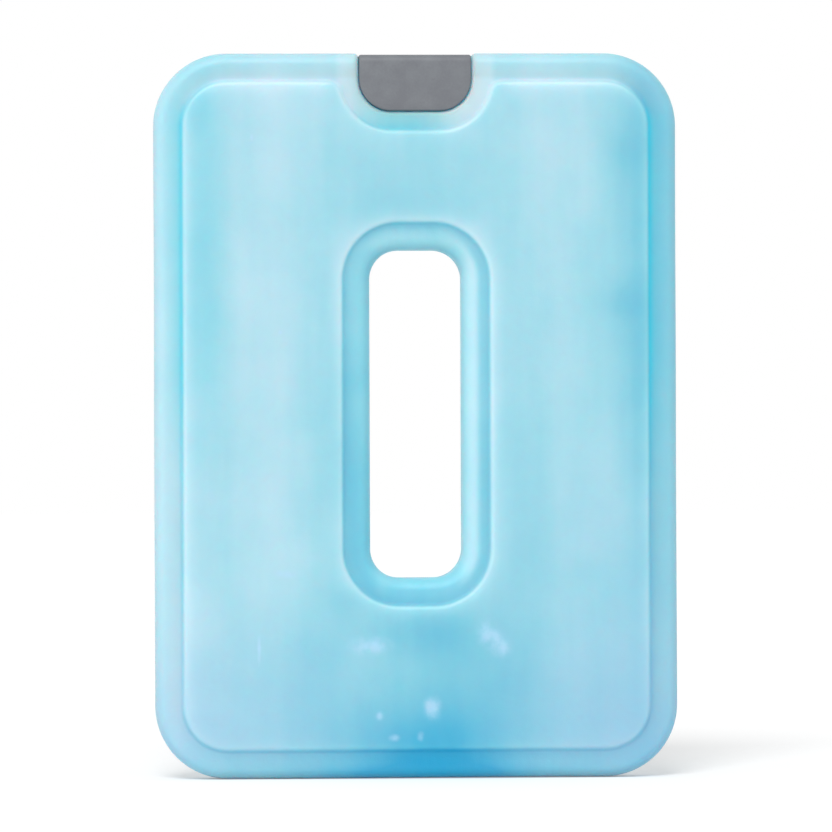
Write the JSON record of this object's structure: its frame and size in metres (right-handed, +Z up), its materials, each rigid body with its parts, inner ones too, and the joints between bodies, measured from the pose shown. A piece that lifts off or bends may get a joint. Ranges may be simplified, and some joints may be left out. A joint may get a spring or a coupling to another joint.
{
  "type": "reusable ice pack",
  "caption": "Flat reusable ice pack: a sealed, frosted blue plastic bottle with raised panels and a long hand opening, closed at the top edge by a grey filler cap.",
  "frame": {"origin": "middle of the flat bottom edge that the pack stands on", "axes": "+Z up along the pack's height, +X across its width, +Y through its thickness towards the back; the face in the picture looks along -Y"},
  "size_m": [0.179, 0.018, 0.248],
  "materials": {
    "frosted_shell": "frosted translucent polyethylene, satin, pale blue from the coolant inside",
    "grey_cap": "fine matt grey"
  },
  "bodies": {
    "root": {"pack_body": "frosted_shell", "filler_cap": "grey_cap"}
  },
  "joints": []
}
